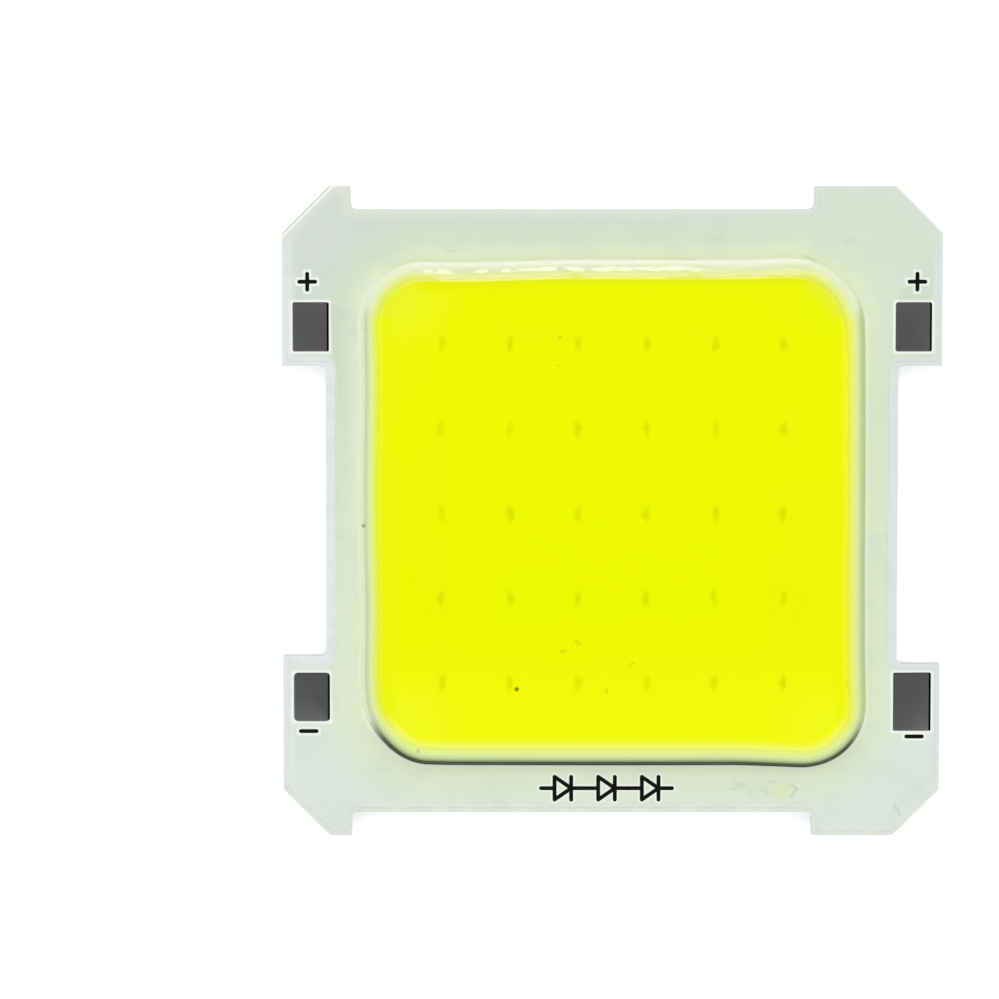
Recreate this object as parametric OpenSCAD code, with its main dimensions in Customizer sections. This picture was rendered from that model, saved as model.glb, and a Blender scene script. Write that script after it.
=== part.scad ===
// Square chip-on-board LED module. A punched aluminium base carries a thin insulating
// layer, two copper tracks and a white mask. Thirty blue dies, joined by fine wires, lie
// under a yellow phosphor gel that a bead of white silicone holds in.
// Millimetres, +Z up. The origin is the centre of the flat back face, the positive pads
// are towards +Y and the negative pads towards -Y.

/* [Board] */
// Width of the board across its ears
board_w = 41; // [40:0.25:46]
// Height of the board over its end tabs
board_h = 40.6; // [40:0.2:46]
// Thickness of the aluminium base plate
base_t = 1; // [0.6:0.1:3]
// Leg of the 45 degree cut across each corner
corner_cut = 2.9; // [1:0.1:3.4]
// Depth of the notch in each side
notch_depth = 2.7; // [1:0.1:3.4]
// Height of the two upper ears, from the side notch to the end of the board
ear_up = 11.15; // [10.3:0.05:14]
// Height of the lower left ear
ear_low_left = 11.3; // [10.3:0.05:14]
// Height of the lower right ear
ear_low_right = 10.8; // [10.3:0.05:14]
// Depth of the long cut along each end
end_depth = 1.45; // [0.6:0.05:1.8]
// Width of the two left tabs, corner cut included
tab_left = 4.25; // [3.9:0.05:12]
// Width of the two right tabs, corner cut included
tab_right = 7.95; // [3.9:0.05:12]
// Radius in the inner corners of the cuts
cut_fillet = 0.4; // [0.1:0.05:0.5]

/* [Layers] */
// Thickness of the insulating layer
insulator_t = 0.1; // [0.05:0.01:0.2]
// Thickness of the copper tracks
copper_t = 0.035; // [0.02:0.005:0.07]
// Thickness of the mask where it covers copper
mask_cover = 0.025; // [0.01:0.005:0.06]
// Bare edge between the mask and the rim of the board
mask_margin = 0.3; // [0.1:0.05:0.35]
// Further bare edge along the floor of each side notch
notch_margin = 0.3; // [0.1:0.05:0.5]
// Thickness of the tin on the solder pads
tin_t = 0.03; // [0.01:0.005:0.08]

/* [Tracks] */
// From the edge of the mask to the copper under it
track_cover = 0.1; // [0.05:0.05:0.2]
// How far a track runs past its pad, towards the side notch
track_lap = 0.1; // [0.05:0.05:0.15]
// From the bare aluminium to the bar of a track
bar_gap = 0.3; // [0.2:0.05:0.6]
// From the bar of a track to the outer side of the dam
bar_tuck = 0.4; // [0.2:0.05:0.8]
// From the dam to the legs of a track
leg_gap = 0.4; // [0.2:0.05:0.8]

/* [Solder pads] */
// Width of a solder pad
pad_w = 2.25; // [1.6:0.05:2.4]
// Height of a solder pad
pad_h = 3.05; // [2:0.05:3.6]
// Width of the large pad at the lower right
large_pad_w = 2.35; // [1.6:0.05:2.4]
// Height of the large pad at the lower right
large_pad_h = 3.65; // [2:0.05:4]
// From the side of the board to the inner side of the pads
pad_inset = 2.9; // [2.85:0.05:3.2]
// From the end of a side notch to the upper pads
pad_gap_up = 0.9; // [0.55:0.05:2]
// From the end of the left notch to the lower left pad
pad_gap_left = 1.05; // [0.55:0.05:2]
// From the end of the right notch to the lower right pad
pad_gap_right = 0.55; // [0.55:0.05:1.5]

/* [Printed marks] */
// Length of a plus or minus sign
mark_len = 1.22; // [0.8:0.02:1.6]
// Width of a printed line
stroke = 0.24; // [0.15:0.01:0.3]
// Thickness of the ink
ink_t = 0.02; // [0.01:0.005:0.05]
// From the outer side of the board to the middle of a sign
mark_edge = 1.57; // [1.3:0.01:1.9]
// From a pad to the middle of its plus sign
plus_gap = 1.28; // [0.9:0.02:1.6]
// From the lower left pad to its minus sign
minus_gap_left = 0.62; // [0.3:0.02:1.2]
// From the lower right pad to its minus sign
minus_gap_right = 0.36; // [0.3:0.02:1.2]
// Length of the row of diode symbols
symbol_w = 8.2; // [6:0.1:10]
// Height of a diode symbol
symbol_h = 1.44; // [0.9:0.02:1.5]
// Length of the triangle in a diode symbol
symbol_l = 1.04; // [0.6:0.02:1.2]
// Number of diode symbols in the row
symbol_count = 3; // [1:1:4]
// Middle of the row, to the right of the centre line
symbol_x = -0.3; // [-2:0.1:2]

/* [Light field] */
// From the side of the board to the dam
dam_side = 4.85; // [4.5:0.05:5.5]
// From the end of the board to the dam
dam_end = 4.5; // [4.3:0.05:5.2]
// Outside corner radius of the dam
dam_corner = 4.1; // [2.5:0.1:6]
// Width of the silicone bead
bead_w = 1.7; // [1.4:0.05:1.9]
// Height of the dam above the mask
dam_h = 0.9; // [0.75:0.05:1]
// How far the gel stops below the top of the dam
gel_drop = 0.08; // [0.04:0.01:0.2]
// From the middle line of the dam to the side of the bare aluminium
window_side = 1.5; // [1:0.1:2]
// From the middle line of the dam to the end of the bare aluminium
window_end = 2.55; // [2.2:0.05:3]
// Corner radius of the bare aluminium
window_corner = 1; // [0.5:0.1:3]

/* [Dies] */
// Number of die columns, each of them one string
die_cols = 6; // [2:1:6]
// Number of dies in a string
die_rows = 5; // [2:1:5]
// From the side of the bare aluminium to the middle of the outer columns
die_side = 2.675; // [1:0.025:4]
// From the end of the bare aluminium to the middle of the outer dies
die_end = 1.84; // [1:0.02:3]
// Width of a die
die_w = 0.56; // [0.3:0.02:0.8]
// Length of a die
die_l = 0.9; // [0.7:0.02:1.2]
// Thickness of a die
die_t = 0.15; // [0.1:0.01:0.2]
// Thickness of the glue under a die
glue_t = 0.02; // [0.01:0.005:0.04]
// How far the glue shows round a die
glue_rim = 0.05; // [0.02:0.01:0.1]
// Diameter of a contact on a die
contact_d = 0.13; // [0.1:0.01:0.2]
// Thickness of a contact on a die
contact_t = 0.005; // [0.003:0.001:0.01]
// From the end of a die to the middle of its contact
contact_inset = 0.14; // [0.11:0.01:0.25]

/* [Bond wires] */
// Diameter of a bond wire
wire_d = 0.03; // [0.02:0.005:0.04]
// Rise of a wire's arc above the line between its ends
loop_rise = 0.26; // [0.15:0.01:0.35]
// Diameter of the foot at each end of a wire
foot_d = 0.085; // [0.06:0.005:0.1]
// Height of the foot at each end of a wire
foot_h = 0.04; // [0.03:0.005:0.06]
// From the inner side of a track's bar to the wires that land on it
land_inset = 0.45; // [0.2:0.05:0.6]

/* [Hidden] */
$fn = 72;
WIRE_SIDES = 8;
// how far a pocket reaches below the piece that it takes
SINK = 0.04;
half_w = board_w / 2;
half_h = board_h / 2;
notch_up = half_h - ear_up;
notch_down_left = half_h - ear_low_left;
notch_down_right = half_h - ear_low_right;

// heights of the stack
copper_z = base_t + insulator_t;
copper_top = copper_z + copper_t;
mask_t = copper_t + mask_cover;
mask_top = copper_z + mask_t;
dam_top = mask_top + dam_h;
gel_top = dam_top - gel_drop;

// light field: the bead's middle line and the window that bares the aluminium
bead_r = bead_w / 2;
dam_x = board_w - 2 * dam_side;
dam_y = board_h - 2 * dam_end;
line_x = dam_x - bead_w;
line_y = dam_y - bead_w;
line_corner = dam_corner - bead_r;
window_x = line_x - 2 * window_side;
window_y = line_y - 2 * window_end;

// tracks: each has a bar along one end of the field and a leg down to each of its pads
bar_inner = window_y / 2 + bar_gap;
bar_outer = dam_y / 2 - bar_tuck;
leg_inner = dam_x / 2 + leg_gap;
leg_outer = half_w - mask_margin - track_cover;

// ears: name, side, end, reach of the notch, gap to the pad, pad width, pad height and
// gap from the pad to its sign
LEFT = -1;
RIGHT = 1;
POSITIVE = 1;
NEGATIVE = -1;
EARS = [
    ["plus_left", LEFT, POSITIVE, notch_up, pad_gap_up, pad_w, pad_h, plus_gap],
    ["plus_right", RIGHT, POSITIVE, notch_up, pad_gap_up, pad_w, pad_h, plus_gap],
    ["minus_left", LEFT, NEGATIVE, notch_down_left, pad_gap_left, pad_w, pad_h,
     minus_gap_left],
    ["minus_right", RIGHT, NEGATIVE, notch_down_right, pad_gap_right, large_pad_w,
     large_pad_h, minus_gap_right]
];
function ear_name(ear) = ear[0];
function side(ear) = ear[1];
function end(ear) = ear[2];
function pad_near(ear) = ear[3] + ear[4];
function pad_size(ear) = [ear[5], ear[6]];
function pad_centre(ear) = [side(ear) * (half_w - pad_inset + ear[5] / 2),
                            end(ear) * (pad_near(ear) + ear[6] / 2)];
function mark_centre(ear) = [side(ear) * (half_w - mark_edge),
                             end(ear) * (pad_near(ear) + ear[6] + ear[7])];

// dies, their contacts and the points where wires land
col_pitch = (window_x - 2 * die_side) / (die_cols - 1);
row_pitch = (window_y - 2 * die_end) / (die_rows - 1);
die_z = base_t + glue_t;
contact_y = die_l / 2 - contact_inset;
contact_top = die_z + die_t + contact_t;
land_y = bar_inner + land_inset;
function die_x(col) = (col - (die_cols + 1) / 2) * col_pitch;
function die_y(row) = ((die_rows + 1) / 2 - row) * row_pitch;

// ---- flat shapes ----

module rounded(w, h, r) {
    square([w - 2 * r, h], center = true);
    square([w, h - 2 * r], center = true);
    for (x = [-1, 1], y = [-1, 1])
        translate([x * (w / 2 - r), y * (h / 2 - r)]) circle(r);
}

// Rectangle from one corner to the opposite one.
module span(a, b) {
    translate([min(a.x, b.x), min(a.y, b.y)])
        square([abs(b.x - a.x), abs(b.y - a.y)]);
}

// Rectangle with its corners cut at 45 degrees.
module clipped(w, h, leg) {
    polygon([[w / 2 - leg, -h / 2], [w / 2, -h / 2 + leg], [w / 2, h / 2 - leg],
             [w / 2 - leg, h / 2], [-w / 2 + leg, h / 2], [-w / 2, h / 2 - leg],
             [-w / 2, -h / 2 + leg], [-w / 2 + leg, -h / 2]]);
}

// A notch with its floor at x = 0 and round inner corners, open towards +X.
module notch(depth, y_low, y_high, r) {
    span([r, y_low], [depth, y_high]);
    span([0, y_low + r], [depth, y_high - r]);
    for (y = [y_low + r, y_high - r]) translate([r, y]) circle(r);
}

// The punched outline, drawn in by an even inset, and by more along the side notches.
module outline(inset = 0, side_extra = 0) {
    r = cut_fillet + inset;
    side_floor = half_w - notch_depth - inset - side_extra;
    side_open = 2 * notch_depth;
    end_floor = half_h - end_depth - inset;
    end_open = 2 * end_depth;
    end_low = -half_w + tab_left - inset;
    end_high = half_w - tab_right + inset;
    difference() {
        clipped(board_w - 2 * inset, board_h - 2 * inset,
                corner_cut - inset * (2 - sqrt(2)));
        translate([side_floor, 0])
            notch(side_open, -notch_down_right - inset, notch_up + inset, r);
        mirror([1, 0]) translate([side_floor, 0])
            notch(side_open, -notch_down_left - inset, notch_up + inset, r);
        for (flip = [0, 1]) mirror([0, flip]) translate([0, end_floor]) rotate(90)
            notch(end_open, -end_high, -end_low, r);
    }
}

module bare_window() {
    rounded(window_x, window_y, window_corner);
}

module pad_plan(ear) {
    translate(pad_centre(ear)) square(pad_size(ear), center = true);
}

module track_plan(pole) {
    span([-leg_outer, pole * bar_inner], [leg_outer, pole * bar_outer]);
    for (ear = EARS)
        if (end(ear) == pole)
            span([side(ear) * leg_inner, pole * (pad_near(ear) - track_lap)],
                 [side(ear) * leg_outer, pole * bar_outer]);
}

module line(a, b) {
    along = b - a;
    translate((a + b) / 2) rotate(atan2(along.y, along.x))
        square([norm(along), stroke], center = true);
    translate(a) circle(d = stroke);
    translate(b) circle(d = stroke);
}

// A triangle that points at a bar, on a line of the given length.
module diode_plan(length) {
    tip = symbol_l / 2;
    half = symbol_h / 2;
    line([-length / 2, 0], [-tip, 0]);
    line([tip, 0], [length / 2, 0]);
    line([-tip, half], [tip, 0]);
    line([tip, 0], [-tip, -half]);
    line([-tip, -half], [-tip, half]);
    line([tip, half], [tip, -half]);
}

// ---- board ----

module base_plate() {
    color("silver") linear_extrude(base_t) outline();
}

module insulating_layer() {
    color("whitesmoke") translate([0, 0, base_t]) linear_extrude(insulator_t)
        difference() {
            outline();
            bare_window();
        }
}

module copper(pole, sink = 0) {
    color("peru") translate([0, 0, copper_z - sink]) linear_extrude(copper_t + sink)
        track_plan(pole);
}

// The mask as if there were no copper under it.
module mask_sheet(sink = 0) {
    translate([0, 0, copper_z - sink]) linear_extrude(mask_t + sink) difference() {
        outline(mask_margin, notch_margin);
        rounded(line_x, line_y, line_corner);
        for (ear = EARS) pad_plan(ear);
    }
}

module solder_mask() {
    color("honeydew") difference() {
        mask_sheet();
        for (pole = [POSITIVE, NEGATIVE]) copper(pole, SINK);
    }
}

module solder_pad(ear) {
    color("dimgray") translate([0, 0, copper_top]) linear_extrude(tin_t) pad_plan(ear);
}

module sign_mark(ear) {
    arm = (mark_len - stroke) / 2;
    color("black") translate([0, 0, mask_top]) linear_extrude(ink_t)
        translate(mark_centre(ear)) {
            line([-arm, 0], [arm, 0]);
            if (end(ear) == POSITIVE) line([0, -arm], [0, arm]);
        }
}

// A row of diode symbols, midway between the dam and the lower end of the board.
module diode_symbols() {
    length = symbol_w / symbol_count;
    middle = -(dam_y / 2 + half_h - end_depth) / 2;
    color("black") translate([symbol_x, middle, mask_top]) linear_extrude(ink_t)
        for (i = [1:symbol_count])
            translate([(i - (symbol_count + 1) / 2) * length, 0]) diode_plan(length);
}

// ---- light field ----

module bead_circle() {
    translate([0, mask_t + dam_h - bead_r]) circle(bead_r);
}

// The bead's section: a circle that stands on the insulating layer.
module bead_section() {
    intersection() {
        bead_circle();
        translate([-bead_w, 0]) square(2 * bead_w);
    }
}

module straight(length) {
    rotate([90, 0, 90]) linear_extrude(length, center = true) children();
}

// A section taken round the middle line of the dam, its feet on the insulating layer.
module along_dam() {
    straight_x = line_x - 2 * line_corner;
    straight_y = line_y - 2 * line_corner;
    corners = [[1, 1], [-1, 1], [-1, -1], [1, -1]];
    translate([0, 0, copper_z]) {
        for (y = [-1, 1]) translate([0, y * line_y / 2]) straight(straight_x) children();
        for (x = [-1, 1])
            translate([x * line_x / 2, 0]) rotate(90) straight(straight_y) children();
        for (turn = [0:3])
            translate([corners[turn].x * straight_x / 2, corners[turn].y * straight_y / 2])
                rotate(90 * turn) rotate_extrude(angle = 90)
                    translate([line_corner, 0]) children();
    }
}

module silicone_dam() {
    color("ivory") difference() {
        along_dam() bead_section();
        mask_sheet(SINK);
        for (pole = [POSITIVE, NEGATIVE]) copper(pole, SINK);
    }
}

module phosphor_gel() {
    color("yellow") difference() {
        union() {
            translate([0, 0, base_t]) linear_extrude(gel_top - base_t) bare_window();
            translate([0, 0, copper_z]) linear_extrude(gel_top - copper_z)
                rounded(line_x, line_y, line_corner);
        }
        along_dam() bead_circle();
        for (pole = [POSITIVE, NEGATIVE]) copper(pole, SINK);
        die_glue(SINK);
        for (row = [1:die_rows], col = [1:die_cols]) led_die(row, col, SINK);
        for (col = [1:die_cols]) bond_wires(col, SINK);
    }
}

// ---- dies and wires ----

module block(w, l, height, sink) {
    translate([-w / 2, -l / 2, -sink]) cube([w, l, height + sink]);
}

module die_glue(sink = 0) {
    color("gainsboro") for (row = [1:die_rows], col = [1:die_cols])
        translate([die_x(col), die_y(row), base_t])
            block(die_w + 2 * glue_rim, die_l + 2 * glue_rim, glue_t, sink);
}

module led_die(row, col, sink = 0) {
    color("lightsteelblue") translate([die_x(col), die_y(row), die_z]) {
        block(die_w, die_l, die_t, sink);
        for (y = [-1, 1]) translate([0, y * contact_y, 0])
            cylinder(h = die_t + contact_t, d = contact_d);
    }
}

// A wire bent in an arc between two landing points, each [y, z], with a foot at each.
module bond_wire(from, to, sink) {
    chord = to - from;
    radius = norm(chord) ^ 2 / (8 * loop_rise) + loop_rise / 2;
    half_angle = asin(norm(chord) / 2 / radius);
    middle = (from + to) / 2 + [0, foot_h / 2];
    for (place = [from, to])
        translate([0, place.x, place.y - sink]) cylinder(h = foot_h + sink, d = foot_d);
    translate([0, middle.x, middle.y]) rotate([90, 0, 90])
        rotate(atan2(chord.y, chord.x)) translate([0, loop_rise - radius])
            rotate(90 - half_angle) rotate_extrude(angle = 2 * half_angle)
                translate([radius, 0]) circle(d = wire_d, $fn = WIRE_SIDES);
}

// All the wires of one string, from the negative bar to the positive one.
module bond_wires(col, sink = 0) {
    lands = concat(
        [[-land_y, copper_top]],
        [for (row = [die_rows:-1:1], end = [-1, 1])
            [die_y(row) + end * contact_y, contact_top]],
        [[land_y, copper_top]]);
    color("gold") translate([die_x(col), 0, 0])
        for (i = [0:die_rows]) bond_wire(lands[2 * i], lands[2 * i + 1], sink);
}

base_plate();
insulating_layer();
copper(POSITIVE);  // copper_positive
copper(NEGATIVE);  // copper_negative
solder_mask();
silicone_dam();
phosphor_gel();
die_glue();
diode_symbols();
for (ear = EARS) {
    solder_pad(ear);
    sign_mark(ear);
}
for (row = [1:die_rows], col = [1:die_cols])
    led_die(row, col);
for (col = [1:die_cols])
    bond_wires(col);
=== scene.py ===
"""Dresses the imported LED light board.

Punched aluminium, white solder mask, tinned pads and a phosphor gel poured inside a silicone bead.
"""

import math

import bpy
from mathutils import Matrix, Vector


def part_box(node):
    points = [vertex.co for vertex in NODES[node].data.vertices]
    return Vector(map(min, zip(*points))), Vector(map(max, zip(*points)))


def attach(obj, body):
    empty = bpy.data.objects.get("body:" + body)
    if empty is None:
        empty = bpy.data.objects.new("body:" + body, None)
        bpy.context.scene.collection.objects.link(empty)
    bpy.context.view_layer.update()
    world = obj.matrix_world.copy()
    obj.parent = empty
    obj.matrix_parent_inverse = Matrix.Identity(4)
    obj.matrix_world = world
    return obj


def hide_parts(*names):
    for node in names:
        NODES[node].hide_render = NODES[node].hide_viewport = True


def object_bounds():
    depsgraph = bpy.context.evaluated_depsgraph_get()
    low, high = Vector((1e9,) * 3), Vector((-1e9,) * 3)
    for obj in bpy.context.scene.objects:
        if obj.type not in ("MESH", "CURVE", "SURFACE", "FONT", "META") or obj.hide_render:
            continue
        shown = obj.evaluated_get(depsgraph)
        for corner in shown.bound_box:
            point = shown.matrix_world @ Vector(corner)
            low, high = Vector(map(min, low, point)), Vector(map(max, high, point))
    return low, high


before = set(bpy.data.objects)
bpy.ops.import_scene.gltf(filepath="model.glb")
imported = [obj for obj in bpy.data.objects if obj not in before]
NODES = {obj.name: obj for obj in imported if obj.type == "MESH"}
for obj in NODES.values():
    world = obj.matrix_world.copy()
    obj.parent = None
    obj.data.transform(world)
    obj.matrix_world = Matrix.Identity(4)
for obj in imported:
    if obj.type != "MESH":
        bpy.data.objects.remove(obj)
CAD_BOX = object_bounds()
MM = 0.001

# ---- Sizes that the frame's boxes do not give, in metres ----
BEAD_CORNER = 3.25 * MM  # corner radius of the bead's middle line
BEAD_RADIUS = 0.83 * MM
BEAD_HALF_WIDTH = 0.85 * MM  # half the width of the CAD's bead
BEAD_SIDES = 40  # facets round the bead's section
BEAD_STEP = 0.25 * MM  # length of one step along the bead
BEAD_SEAM = 0.01 * MM  # where the run closes, points nearer than this become one
BEAD_UNEVEN = 0.04 * MM  # how far the squeezed bead wanders in and out, in all
BEAD_LUMP = 1.6 * MM  # how long that wandering is
BEAD_HELD = 0.1 * MM  # height above the mask below which the bead doesn't wander
GEL_TOP_GAP = 0.075 * MM  # how far the gel's level middle lies below the bead's box
GEL_MEETS_BEAD = 0.24 * MM  # how far inside the bead's middle line the gel begins
GEL_ROUND = 0.35 * MM  # width of the gel's border, where it wets the bead
GEL_ROUND_STEPS = 6
GEL_RISE = 0.015 * MM  # how far that border climbs
GEL_CORNER_STEPS = 24
GEL_SIDE_CUTS = 23
PLATE_ROLL = 0.12 * MM  # the lower edge, rolled over by the punch
INSULATOR_BEVEL = 0.04 * MM
MASK_BEVEL = 0.02 * MM

# How near counts as the same when edges and points are picked.
SAME_POINT = 0.002 * MM
SAME_HEIGHT = 0.003 * MM
SAME_CORNER = 0.01 * MM
STRAY_GRIP = 0.2 * MM  # a stray holds the nearest points, and those this much farther off

# The corner radius of each tinned pad and of its window in the mask.
PAD_CORNERS = {
    "pad_plus_left": 0.1 * MM,
    "pad_plus_right": 0.12 * MM,
    "pad_minus_left": 0.24 * MM,
    "pad_minus_right": 0.06 * MM,
}
PAD_CORNER_STEPS = 4
PAD_RIM_DROP = 0.25  # how low the pad's rim lies, as a share of its thickness
PAD_CUSHION = [(0.015 * MM, 0.15), (0.025 * MM, 0.1)]  # steps inward and up to its flat middle

# The print.
INK_STROKE = 0.24 * MM
DIODES = 3
DIODE_TRIANGLE = 1.04 * MM  # length of the triangle in a diode symbol

# The punched outline: the cut corners, the notch in each side and the long cut along each end.
CORNER_CUT = 2.9 * MM
NOTCH_DEPTH = 2.7 * MM
NOTCH_UP = 9.15 * MM  # how far the side notches reach up from the middle
NOTCH_DOWN_LEFT = 9.0 * MM
NOTCH_DOWN_RIGHT = 9.5 * MM
END_DEPTH = 1.45 * MM
TAB_LEFT = 4.25 * MM  # width of the left tabs beside the long cuts
TAB_RIGHT = 7.95 * MM
BARE_EDGE = 0.3 * MM  # from the board's edge to the mask

# Where the squeezed bead strays from its even path: place, reach and shift, in millimetres.
BEAD_STRAYS = [
    ((-13.85, -14.0), 4.5, (0.36, 0.12)),
    ((13.85, -14.0), 7.0, (0.28, -0.24)),
    ((11.5, 14.95), 3.4, (0.0, 0.14)),
    ((-9.5, 14.95), 7.0, (0.0, -0.16)),
    ((12.7, 12.8), 4.0, (-0.2, -0.18)),
    ((15.65, 0.0), 18.0, (0.09, 0.0)),
    ((0.0, -15.8), 14.0, (0.0, -0.03)),
    ((-15.65, 8.3), 7.0, (0.09, 0.0)),
    ((-15.65, -6.5), 6.0, (0.09, 0.0)),
    ((15.65, -7.5), 5.0, (0.06, 0.0)),
]

# Dust and scratches, in millimetres. Specks: middle, radius and darkness. Scratches: both ends.
SPECK_FADE = (1.2, 0.4)  # shares of a speck's radius at which it begins to show, and is full
SCRATCH_FADE = (0.14 * MM, 0.02 * MM)  # the same for a scratch, beside its line
SCRATCH_DARK = 0.25
GEL_SPECKS = [
    ((-5.93, -10.98), 0.17, 0.95),
    ((-3.25, 10.98), 0.13, 0.35),
    ((-3.37, 9.22), 0.09, 0.25),
]
GEL_SCRATCHES = [
    ((-2.27, -7.92), (-2.03, -8.13)),
    ((-3.2, -8.65), (-2.95, -8.58)),
    ((1.12, -9.5), (1.33, -9.34)),
    ((-0.33, -11.2), (-0.3, -11.02)),
]
DAM_SPECKS = [((-15.46, -0.78), 0.14, 1.0), ((-12.09, -14.85), 0.14, 0.45)]
MASK_SCRATCHES = [
    ((11.3, -17.1), (11.61, -17.38)),
    ((11.61, -17.38), (11.27, -17.82)),
    ((17.76, -18.4), (18.06, -18.98)),
    ((11.89, 15.98), (12.64, 15.67)),
]
MASK_SMUDGES = [
    ((8.0, -17.2), (0.9, 0.35)),
    ((9.3, -17.6), (0.8, 0.45)),
    ((10.2, -16.95), (0.7, 0.2)),
    ((17.05, -1.8), (0.3, 0.5)),
    ((16.8, -4.1), (0.25, 0.6)),
    ((-10.2, 16.4), (1.2, 0.25)),
    ((6.2, 17.2), (0.8, 0.3)),
    ((14.6, 16.9), (0.8, 0.3)),
]
MASK_BLOT = ((10.65, -17.42), (0.85, 0.75))
HALO_FADE = (0.22 * MM, 0.08 * MM)  # how far the pale border round a pad or a sign reaches
DIODE_HALO_FADE = (0.31 * MM, 0.2 * MM)
DIE_SPOT = (0.27 * MM, 0.58 * MM)  # half the size of the spot that a die makes in the gel

# ---- The light: sine of the height above the horizon, then how bright the room is there ----
SKY_LEVELS = [(0.0, 0.55), (0.5, 1.08), (0.87, 1.08), (0.965, 0.08)]
SKY_PEAK = 1.08

SOFTBOX_PLACE = (0.0018, 0.158, 0.229)
SOFTBOX_AIM = (0.0018, 0.015, 0.002)
SOFTBOX_SIZE = (0.032, 0.155)
SOFTBOX_POWER = 0.105

# ---- The floor ----
FLOOR_SIZE = 4
FLOOR_GAP = 0.02 * MM
FLOOR_GREY = (0.8, 0.8, 0.8, 1)
FLOOR_GLOW = 0.45

# ---- The camera ----
CAMERA_SENSOR = 36
CAMERA_NEAR = 0.01
CAMERA_FAR = 10
CAMERA_TILT = math.radians(5)
CAMERA_DISTANCE = 0.3
CAMERA_LEFT = 7.0 * MM
CAMERA_UP = 0.81 * MM
CAMERA_LENS = 173.5


def centre_of(box):
    return (box[0] + box[1]) / 2


def size_of(box):
    return box[1] - box[0]


DAM_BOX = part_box("silicone_dam")
DAM_HALF = size_of(DAM_BOX) / 2
BEAD_HALF_X = DAM_HALF.x - BEAD_HALF_WIDTH
BEAD_HALF_Y = DAM_HALF.y - BEAD_HALF_WIDTH
BEAD_TOP = DAM_BOX[1].z
BEAD_HEART = BEAD_TOP - BEAD_HALF_WIDTH
MASK_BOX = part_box("solder_mask")
PADS = ["pad_plus_left", "pad_minus_left", "pad_plus_right", "pad_minus_right"]
SIGNS = [name.replace("pad", "mark") for name in PADS]
INK = SIGNS + ["diode_symbols"]
FIRST_DIE = centre_of(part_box("led_die_r1c1"))
LAST_DIE = centre_of(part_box("led_die_r5c6"))
DIE_COLUMNS = 6
DIE_ROWS = 5
DIE_PITCH_X = abs(LAST_DIE.x - FIRST_DIE.x) / (DIE_COLUMNS - 1)
DIE_PITCH_Y = abs(LAST_DIE.y - FIRST_DIE.y) / (DIE_ROWS - 1)


# ---- Modelling by hand, in code ----
def start(name):
    """Names the new primitive and steps into it with nothing picked."""
    piece = bpy.context.object
    piece.name = piece.data.name = name
    bpy.ops.object.transform_apply(location=True, rotation=True, scale=True)
    bpy.ops.object.mode_set(mode="EDIT")
    bpy.ops.mesh.select_all(action="DESELECT")
    return piece


def put_down():
    """Back to object mode with nothing selected."""
    if bpy.context.mode != "OBJECT":
        bpy.ops.object.mode_set(mode="OBJECT")
    bpy.ops.object.select_all(action="DESELECT")


def pick(kind, keep):
    """Picks the faces, edges or vertices of the piece in hand that keep() says."""
    piece = bpy.context.object
    bpy.ops.mesh.select_mode(type=kind)
    bpy.ops.mesh.select_all(action="DESELECT")
    bpy.ops.object.mode_set(mode="OBJECT")
    mesh = piece.data
    parts = {"FACE": mesh.polygons, "EDGE": mesh.edges, "VERT": mesh.vertices}[kind]
    for part in parts:
        part.select = keep(part)
    bpy.ops.object.mode_set(mode="EDIT")


def ends(edge):
    """The two ends of an edge of the piece in hand."""
    points = bpy.context.object.data.vertices
    return points[edge.vertices[0]].co, points[edge.vertices[1]].co


def upright(edge):
    a, b = ends(edge)
    return abs(a.x - b.x) + abs(a.y - b.y) < 0.1 * abs(a.z - b.z)


def stray():
    """Draws the piece in hand along with the bead's strays."""
    for at, reach, shift in BEAD_STRAYS:
        place = Vector(at) * MM
        bpy.ops.object.mode_set(mode="OBJECT")
        near = min((v.co.xy - place).length for v in bpy.context.object.data.vertices)
        bpy.ops.object.mode_set(mode="EDIT")
        pick("VERT", lambda point: (point.co.xy - place).length < near + STRAY_GRIP)
        bpy.ops.transform.translate(
            value=(shift[0] * MM, shift[1] * MM, 0),
            use_proportional_edit=True,
            proportional_edit_falloff="SMOOTH",
            proportional_size=reach * MM,
        )


def copy_of_node(node, name):
    """A copy of a CAD node's mesh as one clean skin, held in edit mode."""
    put_down()
    piece = bpy.data.objects.new(name, NODES[node].data.copy())
    piece.data.name = name
    bpy.context.scene.collection.objects.link(piece)
    bpy.context.view_layer.objects.active = piece
    piece.select_set(True)
    bpy.ops.object.mode_set(mode="EDIT")
    bpy.ops.mesh.select_all(action="SELECT")
    bpy.ops.mesh.remove_doubles(threshold=SAME_POINT)
    bpy.ops.mesh.dissolve_limited(angle_limit=math.radians(1))
    bpy.ops.mesh.select_all(action="DESELECT")
    return piece


def rim_edges(height):
    """Says which edges lie along the border of a flat face at that height."""
    piece = bpy.context.object
    bpy.ops.object.mode_set(mode="OBJECT")
    mesh = piece.data
    walls = set()
    for face in mesh.polygons:
        if abs(face.normal.z) < 0.5:
            walls.update(face.edge_keys)
    bpy.ops.object.mode_set(mode="EDIT")

    def on_rim(edge):
        a, b = ends(edge)
        level = max(abs(a.z - height), abs(b.z - height)) < SAME_HEIGHT
        return level and tuple(sorted(edge.vertices)) in walls

    return on_rim


def corner_posts(box):
    """Says which edges stand at the corners of a box."""

    def at_corner(edge):
        if not upright(edge):
            return False
        place = ends(edge)[0]
        near_x = min(abs(place.x - box[0].x), abs(place.x - box[1].x))
        near_y = min(abs(place.y - box[0].y), abs(place.y - box[1].y))
        return max(near_x, near_y) < SAME_CORNER

    return at_corner


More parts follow.
